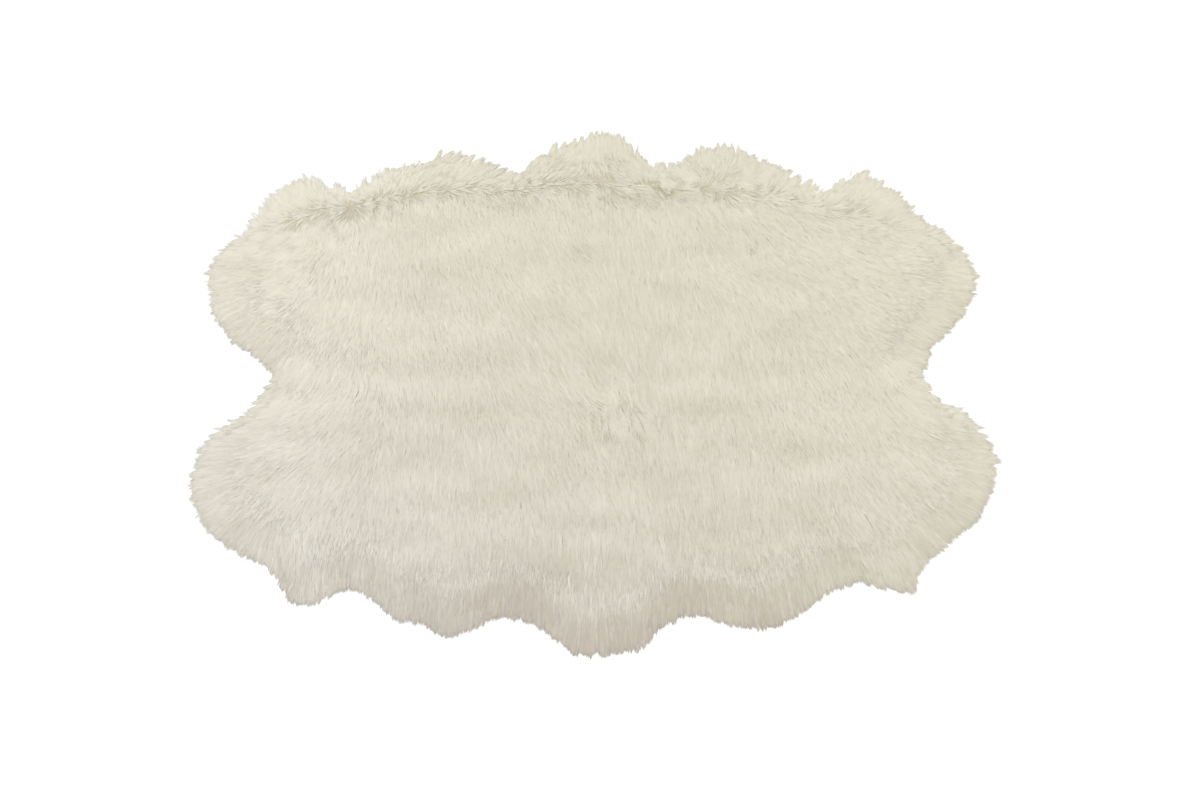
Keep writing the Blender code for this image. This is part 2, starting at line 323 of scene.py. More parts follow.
def comb(points, strokes):
    """The mean heading of the strokes near each point, as vectors of length 1."""
    table = np.array(strokes, float)
    away = np.sum((points[:, None] - table[None, :, :2] * MM) ** 2, axis=2)
    weight = (away + STROKE_REACH**2) ** STROKE_FALL
    heading = np.radians(table[:, 2])
    lay = weight @ np.stack([np.cos(heading), np.sin(heading)], axis=1)
    return lay / np.linalg.norm(lay, axis=1, keepdims=True)


def beyond_parting(points):
    """How far each point lies beyond the far parting, in metres, less than 0 on the body's side."""
    line = np.array(FAR_PARTING, float) * MM
    return points[:, 1] - np.interp(points[:, 0], line[:, 0], line[:, 1])


def turned(lay, angle):
    """The level vectors, each turned counter-clockwise by its angle."""
    return np.stack([
        lay[:, 0] * np.cos(angle) - lay[:, 1] * np.sin(angle),
        lay[:, 0] * np.sin(angle) + lay[:, 1] * np.cos(angle),
    ], axis=1)


def lay_of_wool(points):
    """The heading of the wool's tips at each point, as level vectors of length 1."""
    share = ease(beyond_parting(points) / (2 * PARTING_BLUR) + 0.5)[:, None]
    lay = comb(points, BODY_STROKES) * (1 - share) + comb(points, RIM_STROKES) * share
    for x, y, radius, turn in WHORLS:
        from_middle = points - np.array((x, y)) * MM
        away = np.linalg.norm(from_middle, axis=1, keepdims=True)
        pull = ease(1 - away / (radius * MM))
        radial = from_middle / np.maximum(away, MM)
        lay = turned(lay + WHORL_SPREAD * pull * radial, math.radians(turn) * pull[:, 0])
    for x, y, half_x, half_y, turn in RUMPLED:
        share = np.exp(-((points[:, 0] / MM - x) / half_x) ** 4 - ((points[:, 1] / MM - y) / half_y) ** 4)
        lay = turned(lay, math.radians(turn) * share * wavy(points, RUMPLE_SIZE, RUMPLE_SIZE, RUMPLE_LAYER))
    return lay / np.maximum(np.linalg.norm(lay, axis=1, keepdims=True), 1e-6)


# %% [markdown]
# ## An even net of points
# The map of the lay is kept on a mesh, as values on its points, so the mesh needs points everywhere and not
# only round its outline. Rows of points inside the outline, every other row shifted by half a step and all
# joined by Blender's Delaunay triangulation, give small triangles of nearly one size.

# %% Filling an outline with even triangles
GROW_CELL = 10 * MM
RIM_CELL = 12 * MM
# Shares of a cell: how far the rows lie apart, and how far the inner points stay from the rim
ROW_STEP = math.sqrt(3) / 2
CLEAR_OF_RIM = 0.5


def inside(points, loop):
    """Whether each point lies within the closed loop."""
    ahead = np.roll(loop, -1, axis=0)
    crosses = (loop[None, :, 1] > points[:, None, 1]) != (ahead[None, :, 1] > points[:, None, 1])
    rise = np.where(np.abs(ahead[:, 1] - loop[:, 1]) < 1e-12, 1e-12, ahead[:, 1] - loop[:, 1])
    cut = loop[:, 0] + (points[:, None, 1] - loop[None, :, 1]) * (ahead[:, 0] - loop[:, 0]) / rise
    return np.sum(crosses & (points[:, None, 0] < cut), axis=1) % 2 == 1


def fine_loop(loop, step):
    """The loop with no step longer than the given one."""
    points = []
    for start, end in zip(loop, np.roll(loop, -1, axis=0)):
        count = max(1, math.ceil(np.linalg.norm(end - start) / step))
        points += [start + (end - start) * i / count for i in range(count)]
    return np.array(points)


def segment_distances(points, starts, ends):
    """How far each point lies from each straight step, as a table of points by steps."""
    run = ends - starts
    along = np.einsum("pse,se->ps", points[:, None] - starts[None], run) / np.sum(run * run, axis=1)
    nearest = starts[None] + run[None] * np.clip(along, 0, 1)[..., None]
    return np.linalg.norm(points[:, None] - nearest, axis=2)


def even_triangles(loop):
    """Points and triangles that fill the loop evenly."""
    rim = fine_loop(loop, RIM_CELL)
    low, high = rim.min(0), rim.max(0)
    rows = np.arange(low[1], high[1], GROW_CELL * ROW_STEP)
    grid = np.array([
        (x + (row % 2) * GROW_CELL / 2, y)
        for row, y in enumerate(rows) for x in np.arange(low[0], high[0], GROW_CELL)
    ])
    grid = grid[inside(grid, rim)]
    clear = segment_distances(grid, rim, np.roll(rim, -1, axis=0)).min(1) > GROW_CELL * CLEAR_OF_RIM
    points = np.concatenate([rim, grid[clear]])
    rim_edges = [(i, (i + 1) % len(rim)) for i in range(len(rim))]
    filled = geometry.delaunay_2d_cdt([Vector(p) for p in points], rim_edges, [], 1, 1e-7)
    return np.array([p[:] for p in filled[0]]), filled[2]


net_points, beds = {}, {}
for pelt in PELTS:
    net_points[pelt], faces = even_triangles(outlines[pelt])
    beds[pelt] = bpy.data.meshes.new(pelt + "_bed")
    beds[pelt].from_pydata([(x, y, 0) for x, y in net_points[pelt]], [], faces)
    print(pelt, "points:", len(net_points[pelt]), "triangles:", len(faces))

# %% [markdown]
# ## Outer edge and seams
# A pelt's outline is partly the rug's outer edge, where the wool spills over, and partly a seam, where it
# runs on to the next pelt as if nothing were there. A step of the outline is a seam where another pelt's
# outline runs along it. With the two told apart, each point can be given its distance from the outer edge
# and the way out, and how near it is to the far parting and to a hollow.

# %% Surveying the points
SEAM_REACH = 1.0 * MM
RIM_BAND = 60 * MM
OUTWARD_BLUR = 22 * MM
PARTING_WIDTH = 16 * MM
# The part of the far parting that shows: the middle of it along X, and its half length, in metres
PARTING_MIDDLE = -0.05
PARTING_HALF = 0.6
# The far rim: its share where the edge faces sideways, and how fast that grows as it turns to the far side
FAR_RIM_SHARE = 0.5
FAR_RIM_GROWTH = 0.9


def outer_steps(pelt):
    """The steps of the pelt's outline that are its outer edge and not a seam: starts and ends."""
    starts = fine_loop(outlines[pelt], RIM_CELL)
    ends = np.roll(starts, -1, axis=0)
    middles = (starts + ends) / 2
    loops = [outlines[other] for other in PELTS if other != pelt]
    gaps = [segment_distances(middles, loop, np.roll(loop, -1, axis=0)).min(1) for loop in loops]
    outer = np.min(gaps, axis=0) > SEAM_REACH
    return starts[outer], ends[outer]


def survey(pelt, points):
    """What the next steps ask about each point. The shares go from 0 to 1."""
    starts, ends = outer_steps(pelt)
    to_steps = segment_distances(points, starts, ends)
    to_rim = to_steps.min(1)
    run = ends - starts
    outward = np.exp(-to_steps / OUTWARD_BLUR) @ np.stack([run[:, 1], -run[:, 0]], axis=1)
    outward /= np.maximum(np.linalg.norm(outward, axis=1, keepdims=True), 1e-9)
    near_rim = ease(1 - to_rim / RIM_BAND)
    far_rim = ease(FAR_RIM_SHARE + FAR_RIM_GROWTH * outward[:, 1]) * near_rim
    parting = np.exp(-(beyond_parting(points) / PARTING_WIDTH) ** 2)
    parting = parting * (np.abs(points[:, 0] - PARTING_MIDDLE) < PARTING_HALF)
    hollow = sum(np.exp(-np.sum((points - np.array((x, y)) * MM) ** 2, axis=1) / (radius * MM) ** 2)
                 for x, y, radius in HOLLOWS)
    return SimpleNamespace(
        points=points, x=points[:, 0], y=points[:, 1], to_rim=to_rim, outward=outward,
        near_rim=near_rim, far_rim=far_rim, parting=parting, hollow=np.minimum(hollow, 1.0))


surveys = {pelt: survey(pelt, net_points[pelt]) for pelt in PELTS}
for pelt in PELTS:
    print(pelt, "deepest point:", round(float(surveys[pelt].to_rim.max()), 3), "m from the outer edge")

# %% [markdown]
# ## The bed the wool grows from
# Near the skin, wool is a dense felt of underwool that nobody sees through. Modelling every hair down to
# the skin would spend most of the triangles where no eye reaches. So each pelt gets a bed at about two
# thirds of the plain solid's height, and the long locks start there. At the rim it follows the solid. Further
# in it is a plateau that keeps a fifth of the solid's lumps, because combing presses long wool nearly level.

# %% The height of the bed
# How far from the rim the plateau is reached, its share of the solid's height, and what is added to that
PLATEAU = 120 * MM
PLATEAU_SHARE = 0.2
PLATEAU_HEIGHT = 17.5 * MM
# At the rim: the share of the solid's height, and what is taken off
BED_SHARE = 0.74
BED_DROP = 2.0 * MM
BED_LEAST = 3.4 * MM
SMOOTHING_ROUNDS = 16
RAY_START = 1.0
EDGE_PROBES = ((0, 0), (1.5 * MM, 0), (-1.5 * MM, 0), (0, 1.5 * MM), (0, -1.5 * MM))


def solid_heights(pelt, points):
    """How high the plain solid stands at each point, or a little way in from the point at its edges."""
    tree = BVHTree.FromBMesh(solids[pelt])
    down = Vector((0, 0, -1))
    heights = []
    for x, y in points:
        hits = [tree.ray_cast(Vector((x + dx, y + dy, RAY_START)), down)[0] for dx, dy in EDGE_PROBES]
        heights.append(max(hit.z if hit else 0.0 for hit in hits))
    return np.array(heights)


def smoothed(values, edges, rounds):
    """The values, each drawn towards the mean of its neighbours."""
    first, second = np.array(edges).T
    size = len(values)
    count = np.bincount(first, minlength=size) + np.bincount(second, minlength=size)
    for _ in range(rounds):
        total = np.bincount(first, values[second], size) + np.bincount(second, values[first], size)
        values = (values + total / count) / 2
    return values


def bed_heights(pelt, at):
    """How high the top of the underwool stands at each point."""
    edges = [tuple(edge.vertices) for edge in beds[pelt].edges]
    top = smoothed(solid_heights(pelt, at.points), edges, SMOOTHING_ROUNDS)
    inner = ease(at.to_rim / PLATEAU)
    bed = (top * PLATEAU_SHARE + PLATEAU_HEIGHT) * inner + (top * BED_SHARE - BED_DROP) * (1 - inner)
    return np.maximum(bed, BED_LEAST)


heights = {pelt: bed_heights(pelt, surveys[pelt]) for pelt in PELTS}
for pelt, bed in heights.items():
    print(pelt, "bed:", round(bed.min() / MM, 1), "to", round(bed.max() / MM, 1), "mm high")

# %% [markdown]
# ## How the locks lie
# On the body the locks are long and lie almost flat. At the rim they are shorter, stand up a few degrees and
# point outwards, and at the far edge they draw together into the spiky tufts that the photo shows. Along the
# far parting they are shorter and stand a little higher. The lift is kept this low because a lock that stands
# up shows its shaded side, and then the fleece looks speckled and not combed.

# %% The turn, lift and reach of the locks
# A lay that already points outwards by this share, the cosine of its angle to the way out, is left as it is.
OUTWARD_ENOUGH = 0.75
# The lift in degrees, on the body, at the rim and along the parting. Its slow waves: strength, length along X
# and along Y in metres, and layer of the noise
BODY_LIFT = 1.6
RIM_LIFT = 4
LIFT_WAVES = (0.3, 0.12, 0.06, 8.2)
PARTING_LIFT = 0.6
RIM_REACH = 29 * MM
FULL_REACH = 72 * MM
REACH_GROWTH = 0.9
PARTING_CUT = 0.3
# Each: on the body, more near the rim, and more again at the far rim
TUFT_SHARES = (0.12, 0.35, 0.45)
ROUGH_SHARES = (0.03, 0.15, 0.27)


def combed_outwards(lay, at):
    """The lay, turned outwards near the rim, the more so where it pointed inwards."""
    turned_in = np.clip(OUTWARD_ENOUGH - np.sum(lay * at.outward, axis=1, keepdims=True), 0, 2)
    lay = lay + at.outward * at.near_rim[:, None] * turned_in
    return lay / np.linalg.norm(lay, axis=1, keepdims=True)


def carriage(at):
    """How the locks stand: lift, reach, how far tufts draw together, and how much their lengths differ."""
    strength, *waves = LIFT_WAVES
    lift = BODY_LIFT + strength * wavy(at.points, *waves) + PARTING_LIFT * at.parting
    lift = lift * (1 - at.near_rim) + RIM_LIFT * at.near_rim
    reach = np.minimum(RIM_REACH + at.to_rim * REACH_GROWTH, FULL_REACH) * (1 - PARTING_CUT * at.parting)
    tuft, rough = (
        body + rim * at.near_rim + far * at.far_rim for body, rim, far in (TUFT_SHARES, ROUGH_SHARES))
    return {"lift": np.radians(lift), "reach": reach, "tuft": tuft, "rough": rough}


lays = {pelt: combed_outwards(lay_of_wool(net_points[pelt]), surveys[pelt]) for pelt in PELTS}
carried = {pelt: carriage(surveys[pelt]) for pelt in PELTS}
for pelt in PELTS:
    lift, reach = np.degrees(carried[pelt]["lift"]), carried[pelt]["reach"] / MM
    print(pelt, "lift:", round(lift.min(), 1), "to", round(lift.max(), 1), "degrees, reach:",
          round(reach.min()), "to", round(reach.max()), "mm")

# %% [markdown]
# ## The tone of the wool, with painted light and shade
# No fleece is one colour, so the tone wavers softly, and the wool is warmer to the right and the far side.
# Light and shade are painted into the tone as well. It is paler towards the far edge and the ends, the left
# one most, and a little along the far parting: that is painted light. It is darker in the centre, along the
# near edge and in the hollows: that is painted shade. A ring about 50 mm in from the outer edge, between the
# flat locks of the body and the raised ones of the rim, comes out darker than in the photo, so painted light
# raises the tone there. All of it is painted on the bed as soft patches, and each lock takes up the tone of
# the place where its tip lies.

# %% The painted tone
# The tone goes from 0, darkest, to 1, lightest. The next values say what each thing adds to it, the far side
# for each metre. Apart from the slow waves, they are painted light where they add and painted shade where
# they take away.
MIDDLE_TONE = 0.5
# Slow waves: strength, length along X and along Y in metres, and layer of the noise
TONE_WAVES = ((0.06, 0.22, 0.05, 1.7), (0.04, 0.05, 0.03, 9.4))
# Painted light towards the far side and at the two ends, and painted shade in the centre
FAR_PAINTED_LIGHT = 0.26
LEFT_PAINTED_LIGHT = 0.17
FAR_LEFT_PAINTED_LIGHT = 0.12
RIGHT_PAINTED_LIGHT = 0.05
CENTRE_PAINTED_SHADE = -0.06
# Painted shade darkens the hollows, where the roots also show their own olive colour
HOLLOW_PAINTED_SHADE = -0.15
# A little painted light along the far parting
PARTING_PAINTED_LIGHT = 0.04
# Where the two ends begin along X, and over how many metres they come in; the centre and its width
LEFT_END = (-0.3, 0.45)
RIGHT_END = (0.45, 0.35)
CENTRE = 0.1
CENTRE_WIDTH = 0.35
# The outer edge: its band, its painted light where it faces the far side, which turns to painted shade where
# it faces the near side, and more painted shade at the middle of the near side
EDGE_BAND = 50 * MM
EDGE_PAINTED_LIGHT_AND_SHADE = 0.16
NEAR_EDGE_PAINTED_SHADE = -0.14
# A ring of painted light: its strength, how far in from the outer edge, and its width
RING_PAINTED_LIGHT = 0.13
RING_INWARD = 52 * MM
RING_WIDTH = 18 * MM
# Warmth, from 0 to 1: in the middle, and what a metre to the right, a metre to the far side and a hollow add
WARMTH = (0.54, 0.3, 0.75, 0.3)
# How much strands differ in tone: everywhere, and more in a hollow and along the parting
STRAND_TONES = (0.07, 0.10, 0.02)
# How far the roots show: in a hollow, and along the parting
BARE_SHARES = (0.9, 0.15)


def tone_with_painted_light(at):
    """Tone with painted light and shade, warmth, strand difference in tone and how far roots show, at each
    point.
    """
    tone = MIDDLE_TONE
    for strength, long_x, long_y, layer in TONE_WAVES:
        tone = tone + strength * wavy(at.points, long_x, long_y, layer)
    left = ease((LEFT_END[0] - at.x) / LEFT_END[1])
    right = ease((at.x - RIGHT_END[0]) / RIGHT_END[1])
    centre = np.exp(-((at.x - CENTRE) / CENTRE_WIDTH) ** 2)
    # Painted light towards the far side and the ends, and painted shade in the centre and the hollows
    tone = tone + FAR_PAINTED_LIGHT * at.y + (LEFT_PAINTED_LIGHT + FAR_LEFT_PAINTED_LIGHT * at.y) * left + RIGHT_PAINTED_LIGHT * right
    tone = tone + CENTRE_PAINTED_SHADE * centre + HOLLOW_PAINTED_SHADE * at.hollow
    # Painted light where the outer edge faces the far side, painted shade where it faces the near side
    facing_far = at.outward[:, 1]
    near_edge_shade = NEAR_EDGE_PAINTED_SHADE * np.maximum(-facing_far, 0) * np.exp(-(at.x / CENTRE_WIDTH) ** 2)
    tone = tone + ease(1 - at.to_rim / EDGE_BAND) * (EDGE_PAINTED_LIGHT_AND_SHADE * facing_far + near_edge_shade)
    # Painted light on the ring about 50 mm in from the outer edge
    tone = tone + RING_PAINTED_LIGHT * np.exp(-((at.to_rim - RING_INWARD) / RING_WIDTH) ** 2)
    # A little painted light along the far parting
    tone = tone + PARTING_PAINTED_LIGHT * at.parting
    return {
        "shade": tone,
        "warm": WARMTH[0] + WARMTH[1] * at.x + WARMTH[2] * at.y + WARMTH[3] * at.hollow,
        "strand": STRAND_TONES[0] + STRAND_TONES[1] * at.hollow + STRAND_TONES[2] * at.parting,
        "bare": np.clip(BARE_SHARES[0] * at.hollow + BARE_SHARES[1] * at.parting, 0, 1),
    }


for pelt in PELTS:
    carried[pelt].update(tone_with_painted_light(surveys[pelt]), to_rim=surveys[pelt].to_rim)
    tones = carried[pelt]["shade"]
    print(pelt, "tone:", round(tones.min(), 2), "to", round(tones.max(), 2))

# %% [markdown]
# ## The growing surface
# Everything that the locks need to know is now written on the bed's points as attributes. Geometry Nodes
# read an attribute anywhere on a face, softly blended between its points, so 10 mm between points is enough.

# %% The growing surface of each pelt
for pelt in PELTS:
    bed = beds[pelt]
    bed.vertices.foreach_set("co", np.column_stack([net_points[pelt], heights[pelt]]).ravel())
    for name, values in carried[pelt].items():
        bed.attributes.new(name, "FLOAT", "POINT").data.foreach_set("value", values.astype(np.float32))
    vectors = np.column_stack([lays[pelt], np.zeros(len(lays[pelt]))]).astype(np.float32)
    bed.attributes.new("lay", "FLOAT_VECTOR", "POINT").data.foreach_set("vector", vectors.ravel())
    bed.update()
    print(pelt, "carries:", ", ".join(carried[pelt]), "and lay")

# %% [markdown]
# ## One lock
# A lock is a few dozen hairs that cling together: thin at the root, fullest a little past half way, and drawn
# out to a fine tip. Four points give just that: a root a little below the bed, two at its fullest, and a tip,
# closed by four triangles. So few are enough because there are so many locks. Seven shapes with different
# bends keep the fleece from looking combed by machine.

# %% Lock shapes
LOCK_LENGTH = 50 * MM
LOCK_WIDTH = 1.5 * MM
ROOT_DEEP = 3.0 * MM
# How far along its length a lock is fullest, how far it rises and strays there in mm, and its turn in degrees
LOCK_SHAPES = (
    (0.55, 0.5, 0.0, 6),
    (0.50, 0.6, 1.6, -9),
    (0.60, 0.5, -1.6, 9),
    (0.65, 0.6, 2.8, -4),
    (0.55, 0.6, -2.8, 4),
    (0.45, 0.5, 0.6, -12),
    (0.70, 0.4, -0.6, 12),
)
# The lock's map: U across it at its four points
ACROSS = (0.5, 1.0, 0.0, 0.5)


def lock_object(name, fullest, rise, stray, turn):
    """One lock along +X from the origin, with a map whose V runs from its root to its tip."""
    reach, side = fullest * LOCK_LENGTH, LOCK_WIDTH / 2
    tilt = math.radians(turn)
    across, up = side * math.cos(tilt), side * math.sin(tilt)
    points = (
        (0, 0, -ROOT_DEEP),
        (reach, stray * MM + across, rise * MM + up),
        (reach, stray * MM - across, rise * MM - up),
        (LOCK_LENGTH, 0, 0),
    )
    along = (0, fullest, fullest, 1)
    form = bmesh.new()
    uv_map = form.loops.layers.uv.new("OFBake")
    corners = [form.verts.new(point) for point in points]
    for chosen in ((0, 1, 2), (1, 2, 3), (0, 1, 3), (0, 2, 3)):
        face = form.faces.new([corners[i] for i in chosen])
        for loop, i in zip(face.loops, chosen):
            loop[uv_map].uv = (ACROSS[i], along[i])
    bmesh.ops.recalc_face_normals(form, faces=form.faces)
    mesh = bpy.data.meshes.new(name)
    form.to_mesh(mesh)
    form.free()
    mesh.shade_smooth()
    return bpy.data.objects.new(name, mesh)


locks = bpy.data.collections.new("locks")
for number, shape in enumerate(LOCK_SHAPES):
    locks.objects.link(lock_object(f"lock_{number}", *shape))

# %% [markdown]
# ## Growing the wool
# The locks could be a particle system, but hair particles are not meshes and do not travel with a model.
# Geometry Nodes scatter the same locks as instances and then make them real. One tree serves all four pelts:
# its inputs say which bed, how many locks, how wide, and so on. The next cells build it step by step.

# %% The tree and its inputs
INPUT_KINDS = {
    "Bed": "Geometry", "Whole Rug": "Object", "Locks": "Collection", "Locks per Square Metre": "Float",
    "Band": "Float", "Width": "Float", "Wander": "Float", "Tuft Size": "Float", "Softness": "Float",
    "Seed": "Int", "Material": "Material",
}

wool_tree = bpy.data.node_groups.new("grow_wool", "GeometryNodeTree")
for name, kind in INPUT_KINDS.items():
    wool_tree.interface.new_socket(name, in_out="INPUT", socket_type="NodeSocket" + kind)
wool_tree.interface.new_socket("Wool", in_out="OUTPUT", socket_type="NodeSocketGeometry")
given = wool_tree.nodes.new("NodeGroupInput").outputs
node = partial(add_node, wool_tree)
print("inputs:", ", ".join(INPUT_KINDS))

# %% [markdown]
# ## Map and chance
# Each lock knows two things: what the bed tells it at its root, and what chance deals it. All chances come
# from one Seed, so every run grows the same fleece, and each has a number of its own added to the seed, so
# that a long lock isn't always a wide one too.

# %% What the bed and chance give each lock
BED_VALUES = ("lift", "reach", "tuft", "rough", "shade", "warm", "strand", "bare", "to_rim")
# Each chance: the least, the most, and what is added to the seed
LOCK_CHANCES = {
    "swing": (-1.0, 1.0, 1),
    "lift": (math.radians(-0.15), math.radians(0.25), 2),
    "length": (0.82, 1.08, 3),
    "width": (0.7, 1.3, 4),
    "tone": (-0.02, 0.02, 5),
    "off_rug": (1.0 * MM, 5.0 * MM, 6),
    "warmth": (0.0, 1.0, 8),
}

here = {name: node("GeometryNodeInputNamedAttribute", name, data_type="FLOAT") for name in BED_VALUES}
lay = node("GeometryNodeInputNamedAttribute", "lay", data_type="FLOAT_VECTOR")
chance = {}
for name, (least, most, shift) in LOCK_CHANCES.items():
    seed = node("ShaderNodeMath", given["Seed"], shift, operation="ADD")
    chance[name] = node("FunctionNodeRandomValue", inputs={"Min": least, "Max": most, "Seed": seed})
print("values from the bed:", len(here) + 1, "and from chance:", len(chance))

# %% [markdown]
# ## Scattering the roots
# Locks grow at random, as hair does, and not on a grid. Where tufts stand apart more of them are needed,
# because each hides less. The same tree also grows the fringe, a second set of locks close to the outer edge:
# its Band is narrow, and towards the end of the Band its locks thin out.

# %% Scattering the roots
BAND_FADE = 35 * MM
# How many more locks grow where the bed is fully bare, as a share of the usual number
HOLLOW_EXTRA = 0.8

fade_from = node("ShaderNodeMath", given["Band"], BAND_FADE, operation="SUBTRACT")
in_band = node("ShaderNodeMapRange", inputs={
    "Value": here["to_rim"], "From Min": fade_from, "From Max": given["Band"], "To Min": 1.0, "To Max": 0.0})
denser = node("ShaderNodeMath", here["bare"], HOLLOW_EXTRA, in_band, operation="MULTIPLY_ADD")
density = node("ShaderNodeMath", given["Locks per Square Metre"], denser, operation="MULTIPLY")
roots = node("GeometryNodeDistributePointsOnFaces", inputs={
    "Mesh": given["Bed"], "Density": density, "Seed": given["Seed"]}, output="Points")
rooted = node("GeometryNodeStoreNamedAttribute", data_type="FLOAT_VECTOR", domain="POINT", inputs={
    "Geometry": roots, "Name": "ground", "Value": roots.node.outputs["Normal"]})
ground = node("GeometryNodeInputNamedAttribute", "ground", data_type="FLOAT_VECTOR")
print("nodes so far:", len(wool_tree.nodes))

# %% [markdown]
# ## Tufts and tips
# Wool hangs together in tufts. A tuft is a cell of a Voronoi pattern, 15 mm wide: the tip of each lock is
# drawn towards the tip of a lock at the middle of its cell. The cell's random colour gives the whole tuft a
# length, a swing and a tone of its own. The rest of a lock's direction is the lay, with a little wander.

# %% Tufts, and where the tips point
# What each tuft has of its own, from the red, green and blue of its cell: the least and the most
TUFT_CHANCES = {"length": (-1.0, 1.0), "swing": (-0.3, 0.3), "tone": (-0.03, 0.03)}
LEVEL = (1, 1, 0)

place = node("GeometryNodeInputPosition")
level = node("ShaderNodeVectorMath", place, LEVEL, operation="MULTIPLY")
per_metre = node("ShaderNodeMath", 1.0, given["Tuft Size"], operation="DIVIDE")
middle = node("ShaderNodeTexVoronoi", voronoi_dimensions="3D", output="Position", inputs={
    "Vector": level, "Scale": per_metre})
cell_colour = node("FunctionNodeSeparateColor", middle.node.outputs["Color"]).node.outputs
tuft_chance = {}
for channel, (name, (least, most)) in enumerate(TUFT_CHANCES.items()):
    tuft_chance[name] = node("ShaderNodeMapRange", inputs={
        "Value": cell_colour[channel], "To Min": least, "To Max": most})

level_middle = node("ShaderNodeVectorMath", middle, LEVEL, operation="MULTIPLY")
to_middle = node("ShaderNodeVectorMath", level_middle, level, operation="SUBTRACT")
drawn = node("ShaderNodeVectorMath", to_middle, here["tuft"], operation="SCALE")
longer = node("ShaderNodeMath", tuft_chance["length"], here["rough"], 1.0, operation="MULTIPLY_ADD")
reach = node("ShaderNodeMath", here["reach"], longer, operation="MULTIPLY")
straight = node("ShaderNodeVectorMath", lay, reach, operation="SCALE")
swing = node("ShaderNodeMath", chance["swing"], tuft_chance["swing"], operation="ADD")
angle = node("ShaderNodeMath", swing, given["Wander"], operation="MULTIPLY")
wander = node("FunctionNodeAxisAngleToRotation", inputs={"Axis": (0, 0, 1), "Angle": angle})
wandered = node("FunctionNodeRotateVector", straight, wander)
aimed = node("ShaderNodeVectorMath", wandered, drawn, operation="ADD")
tip = node("ShaderNodeVectorMath", level, aimed, operation="ADD")
print("nodes so far:", len(wool_tree.nodes))

# %% [markdown]
# ## Strands
# Locks that lie in one line cling together in strands, which share a tone and a height. A strand here is soft
# noise drawn out along the lay: the sum of twelve samples, set one behind the other from the tip backwards.
# Stretching the noise itself would be simpler, but it can't follow a lay that turns.

# %% Strands along the lay
STRAND_SIZE = 4.5 * MM
STRAND_STEP = 6.0 * MM
STRAND_STEPS = 12
# A sum of samples this far below or above its middle makes a strand of -1 or 1. Nothing is cut off beyond.
STRAND_SPREAD = 0.37

back = node("ShaderNodeVectorMath", lay, -STRAND_STEP, operation="SCALE")
total = 0.0
for step in range(STRAND_STEPS):
    behind = node("ShaderNodeVectorMath", back, float(step), operation="SCALE")
    at = node("ShaderNodeVectorMath", tip, behind, operation="ADD")
    grain = node("ShaderNodeTexNoise", inputs={"Vector": at, "Scale": 1 / STRAND_SIZE, "Detail": 0.0})
    total = node("ShaderNodeMath", total, grain, operation="ADD")
strand = node("ShaderNodeMapRange", clamp=False, inputs={
    "Value": total, "From Min": 0.5 * STRAND_STEPS - STRAND_SPREAD,
    "From Max": 0.5 * STRAND_STEPS + STRAND_SPREAD, "To Min": -1.0, "To Max": 1.0})
print("nodes so far:", len(wool_tree.nodes))

# %% [markdown]
# ## Laying the locks down
# A tip that simply followed its direction would dive into the next lump or hang in the air. So a ray looks
# for the bed straight below each tip, and the tip is laid there, raised by the lift. Past the rug's edge it
# comes down a few millimetres above the floor.

# %% Where each tip comes down
LOOK_DOWN_FROM = 0.3
STRAND_LIFT = math.radians(0.3)

rug = node("GeometryNodeObjectInfo", given["Whole Rug"], transform_space="ORIGINAL", output="Geometry")
over = node("ShaderNodeVectorMath", tip, (0, 0, LOOK_DOWN_FROM), operation="ADD")
hit = node("GeometryNodeRaycast", output="Is Hit", inputs={
    "Target Geometry": rug, "Source Position": over, "Ray Direction": (0, 0, -1), "Ray Length": 1.0})
on_bed = node("ShaderNodeSeparateXYZ", hit.node.outputs["Hit Position"], output="Z")
landing = node("GeometryNodeSwitch", input_type="FLOAT", inputs={
    "Switch": hit, "False": chance["off_rug"], "True": on_bed})
strand_lift = node("ShaderNodeMath", strand, STRAND_LIFT, operation="MULTIPLY")
own_lift = node("ShaderNodeMath", chance["lift"], strand_lift, operation="ADD")
lift = node("ShaderNodeMath", here["lift"], own_lift, operation="ADD")
slope = node("ShaderNodeMath", lift, operation="TANGENT")
run = node("ShaderNodeVectorMath", aimed, operation="LENGTH", output="Value")
climb = node("ShaderNodeMath", run, slope, operation="MULTIPLY")
tip_height = node("ShaderNodeMath", landing, climb, operation="ADD")
root_height = node("ShaderNodeSeparateXYZ", place, output="Z")
fall = node("ShaderNodeMath", tip_height, root_height, operation="SUBTRACT")
heading = node("ShaderNodeVectorMath", aimed, node("ShaderNodeCombineXYZ", 0.0, 0.0, fall), operation="ADD")
print("nodes so far:", len(wool_tree.nodes))

# %% [markdown]
# ## Setting the locks
# Each root gets one of the seven locks, turned so that its length runs along the heading and its flat side
# faces away from the bed, and stretched from its 50 mm to the length it needs.

# %% Setting the locks
SHAPE_DRAW = 60

turn = node("FunctionNodeAxesToRotation", primary_axis="X", secondary_axis="Z", inputs={
    "Primary Axis": heading, "Secondary Axis": ground})
whole = node("ShaderNodeVectorMath", heading, operation="LENGTH", output="Value")
stretch = node("ShaderNodeMath", whole, LOCK_LENGTH, operation="DIVIDE")
length = node("ShaderNodeMath", stretch, chance["length"], operation="MULTIPLY")
width = node("ShaderNodeMath", given["Width"], chance["width"], operation="MULTIPLY")
scale = node("ShaderNodeCombineXYZ", length, width, width)
shapes = node("GeometryNodeCollectionInfo", transform_space="ORIGINAL", inputs={
    "Collection": given["Locks"], "Separate Children": True, "Reset Children": True})
